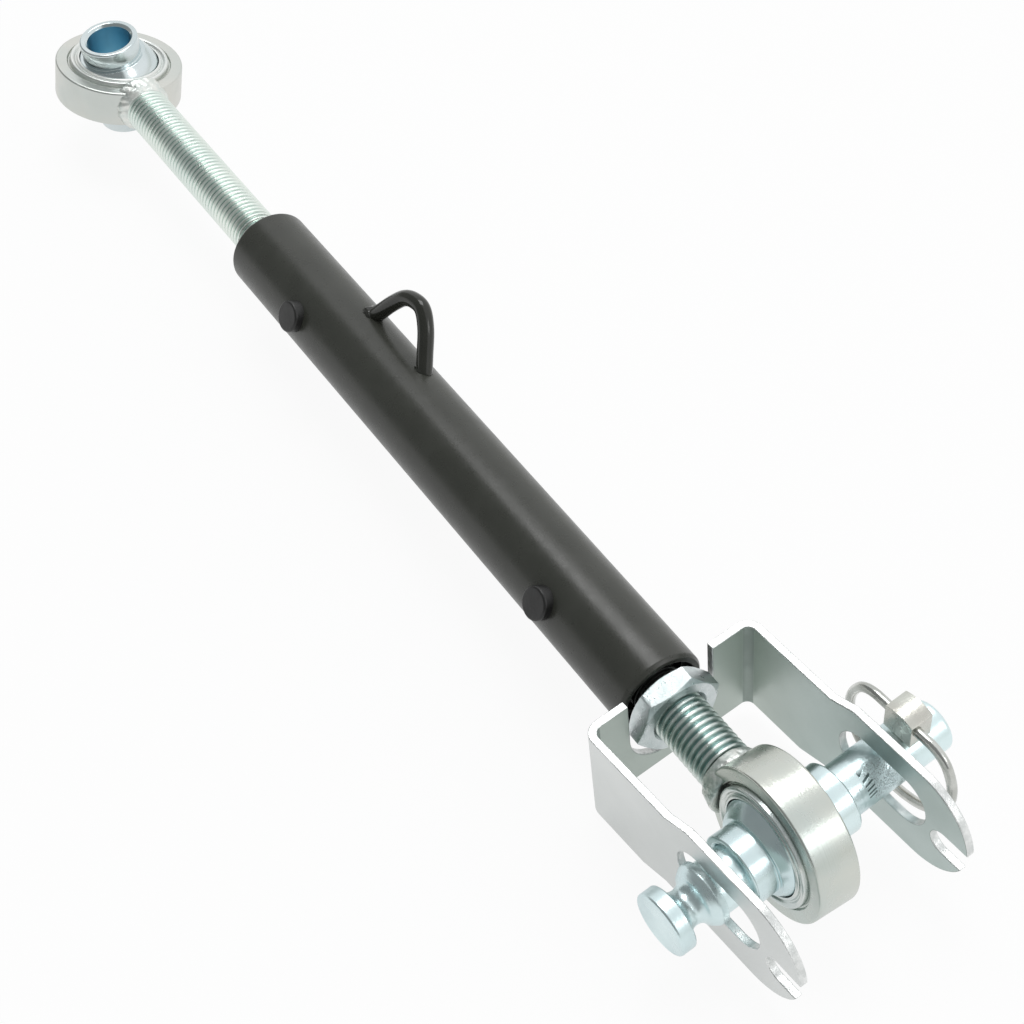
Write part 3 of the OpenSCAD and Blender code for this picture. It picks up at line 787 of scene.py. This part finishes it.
def build_lynch():
    """The lynch pin, and its wire ring: an arc, a round corner and a straight end on each side."""
    bm = cad_copy("lynch_pin")
    soften(bm, 1.3, segments=4)
    piece("lynch_pin_body", bm, ["lynch"], "lynch_pin", ["lynch_pin"], sharp=50)
    bm = bmesh.new()
    start = math.asin(RING_EYE_Z / RING_R)
    corner = RING_R * math.cos(start)
    low = start - 0.22
    arc = [(RING_R * math.cos(a), RING_R * math.sin(a))
           for a in (math.pi - low + (math.pi + 2 * low) * k / 150 for k in range(151))]
    bend = []
    for k in range(9):
        t = k / 9
        x = (-(corner - RING_CORNER_X) * (1 - t) ** 2 - corner * 2 * t * (1 - t)
             + arc[0][0] * t * t)
        bend.append((x, RING_EYE_Z * (1 - t * t) + arc[0][1] * t * t))
    half = [(-2.6, RING_EYE_Z), (-6.5, RING_EYE_Z)] + bend
    flat = half + arc + [(-x, z) for x, z in half[::-1]]
    path = [PIN @ p for p in smooth_path([(x, RING_Y, z) for x, z in flat], 1.0)]
    tube(bm, path, RING_WIRE_R, 20)
    piece("lynch_ring_wire", bm, ["ring"], "lynch_ring", ["lynch_ring"])


def build_bracket():
    """The bent sheet, with its cut edges, its inside and its inner bends told apart. The inside
    and the inner bends take painted shade.
    """
    bm = cad_copy("bracket")
    soften(bm, 0.4)
    inverse = BRACKET.inverted()
    turned = inverse.to_3x3()
    notch_half, web_front, middle_x = 26, -50, 20.0
    outer_face, cut_edge, inner_face, inner_bend = range(4)
    for f in bm.faces:
        n = turned @ f.normal
        c = inverse @ f.calc_center_median()
        cut = abs(n.z) > 0.3 or (c.x > web_front and abs(n.x) > 0.5)
        cut = cut or (c.x < WEB_X and abs(n.y) > 0.5 and abs(c.y - BRACKET_Y) < notch_half)
        inner = Vector((c.x + middle_x, c.y - BRACKET_Y)).dot(Vector((n.x, n.y))) < 0
        if cut:
            f.material_index = cut_edge
        # Inside faces get painted shade, the inner bends a darker painted shade.
        elif inner:
            f.material_index = inner_bend if min(abs(n.x), abs(n.y)) > 0.1 else inner_face
        else:
            f.material_index = outer_face
    piece("bracket_sheet", bm, ["sheet", "sheet_edge", "sheet_inner_painted_shade", "sheet_bend_painted_shade"], "bracket",
          ["bracket"], sharp=50)


def dress_hidden_nodes():
    """CAD nodes that stay, with better materials."""
    for node, key in (("upper_insert", "insert"), ("lower_insert", "insert"),
                      ("upper_stop", "spring"), ("lower_stop", "spring")):
        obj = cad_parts[node]
        obj.data.materials.clear()
        obj.data.materials.append(MATERIALS[key])


build_barrel()
build_studs()
build_loop()
build_eye("upper", UPPER_EYE, UPPER_BALL, "upper_ball", "upper_eye")
build_eye("lower", LOWER_EYE, PIN_AXIS, "lower_ball", "lower_eye")
build_rod("upper", ALONG_X, UPPER_REACH, -1, "upper_eye")
build_rod("lower", LOWER_ROD, LOWER_REACH, 1, "lower_eye")
build_weld("upper", ALONG_X, "upper_eye", 3.0, -125.0, 1.0)
build_weld("lower", LOWER_ROD, "lower_eye", 11.0, -100.0, 0.45)
build_nut()
build_pin()
build_lynch()
build_bracket()
dress_hidden_nodes()


# ---------------------------------------------------------------- floor, light and camera
FLOOR_Z = -0.0325
FLOOR_HALF = 6.0
CAMERA_GLOW = 0.93
GLOSSY_GLOW = 0.7

CAMERA_AT = (725.354, -243.813, 546.204)
CAMERA_TURN = (2.1921300, 1.1683806, -0.4738965)
CAMERA_FOCUS = 1997.363
IMAGE_SIDE = 1024
LAMP_AIM = (0.4, 0.0, 0.0)


def build_floor():
    """White paper under the link. It glows for the camera and, less, in what reflects it."""
    bm = bmesh.new()
    corners = [(-FLOOR_HALF, -FLOOR_HALF), (FLOOR_HALF, -FLOOR_HALF),
               (FLOOR_HALF, FLOOR_HALF), (-FLOOR_HALF, FLOOR_HALF)]
    bm.faces.new([bm.verts.new((x, y, FLOOR_Z)) for x, y in corners])
    mesh = bpy.data.meshes.new("floor")
    bm.to_mesh(mesh)
    bm.free()
    floor = bpy.data.objects.new("floor", mesh)
    bpy.context.scene.collection.objects.link(floor)
    s = Shade("floor_white")
    s.set(base_color=(0.9, 0.9, 0.9, 1.0), roughness=0.9)
    glow = s.node("ShaderNodeEmission")
    glow.inputs["Color"].default_value = (1.0, 1.0, 1.0, 1.0)
    glow.inputs["Strength"].default_value = 1.0
    path = s.node("ShaderNodeLightPath")
    share = s.math("MAXIMUM", s.times(path.outputs["Is Camera Ray"], CAMERA_GLOW),
                   s.times(path.outputs["Is Glossy Ray"], GLOSSY_GLOW))
    blend = s.node("ShaderNodeMixShader")
    for source, socket in zip((share, s.bsdf.outputs[0], glow.outputs[0]), blend.inputs):
        s.link(source, socket)
    s.link(blend.outputs[0], s.out.inputs[0])
    mesh.materials.append(s.mat)


def build_world():
    """A pale studio with a dark room over its front half. The camera itself sees near white."""
    world = bpy.data.worlds.new("studio")
    bpy.context.scene.world = world
    world.use_nodes = True
    w = Nodes(world.node_tree)
    out = w.node("ShaderNodeOutputWorld")
    back = w.node("ShaderNodeBackground")
    way = w.node("ShaderNodeTexCoord").outputs["Generated"]

    def lobe(direction, low, high):
        """0 to 1 as the cosine of the angle from a unit direction goes from low to high."""
        dot = w.node("ShaderNodeVectorMath", operation="DOT_PRODUCT")
        w.link(way, dot.inputs[0])
        dot.inputs[1].default_value = direction
        return w.remap(dot.outputs["Value"], low, high)

    colour = w.mix(lobe((0, 0, 1), 0.0, 0.25), (0.74, 0.75, 0.72), (0.92, 0.93, 0.94))
    front = w.times(lobe((0, -1, 0), -0.05, 0.06), lobe((0, 0, 1), 0.02, 0.14))
    colour = w.mix(front, colour, (0.27, 0.28, 0.28))
    seen = w.node("ShaderNodeLightPath").outputs["Is Camera Ray"]
    w.link(w.mix(seen, colour, (0.96, 0.96, 0.96)), back.inputs["Color"])
    back.inputs["Strength"].default_value = 1.0
    w.link(back.outputs[0], out.inputs[0])


def softbox(name, direction, distance, size, power):
    """A rectangular lamp that faces LAMP_AIM, at a distance from it in a direction."""
    light = bpy.data.lights.new(name, "AREA")
    light.shape = "RECTANGLE"
    light.size, light.size_y = size
    light.energy = power
    obj = bpy.data.objects.new(name, light)
    way = Vector(direction).normalized()
    obj.location = Vector(LAMP_AIM) + way * distance
    obj.rotation_euler = (-way).to_track_quat("-Z", "Y").to_euler()
    bpy.context.scene.collection.objects.link(obj)


def build_camera():
    """The photograph's viewpoint, found by fitting the outlines of the rings, rods and barrel."""
    cam = bpy.data.cameras.new("camera")
    cam.sensor_width = 36.0
    cam.lens = cam.sensor_width * CAMERA_FOCUS / IMAGE_SIDE
    cam.clip_start, cam.clip_end = 0.05, 50.0
    obj = bpy.data.objects.new("camera", cam)
    axis = Vector(CAMERA_TURN)
    right, down, ahead = Matrix.Rotation(axis.length, 3, axis)
    pose = Matrix((right, -down, -ahead)).transposed().to_4x4()
    pose.translation = Vector(CAMERA_AT) * MM
    obj.matrix_world = pose
    bpy.context.scene.collection.objects.link(obj)
    bpy.context.scene.camera = obj


build_floor()
build_world()
softbox("key", (-0.375, 0.16, 0.913), 3.0, (1.6, 1.11), 25.0)
softbox("side", (0.72, 0.39, 0.57), 3.0, (0.84, 0.9), 6.0)
build_camera()
bpy.context.scene.view_settings.view_transform = "Standard"
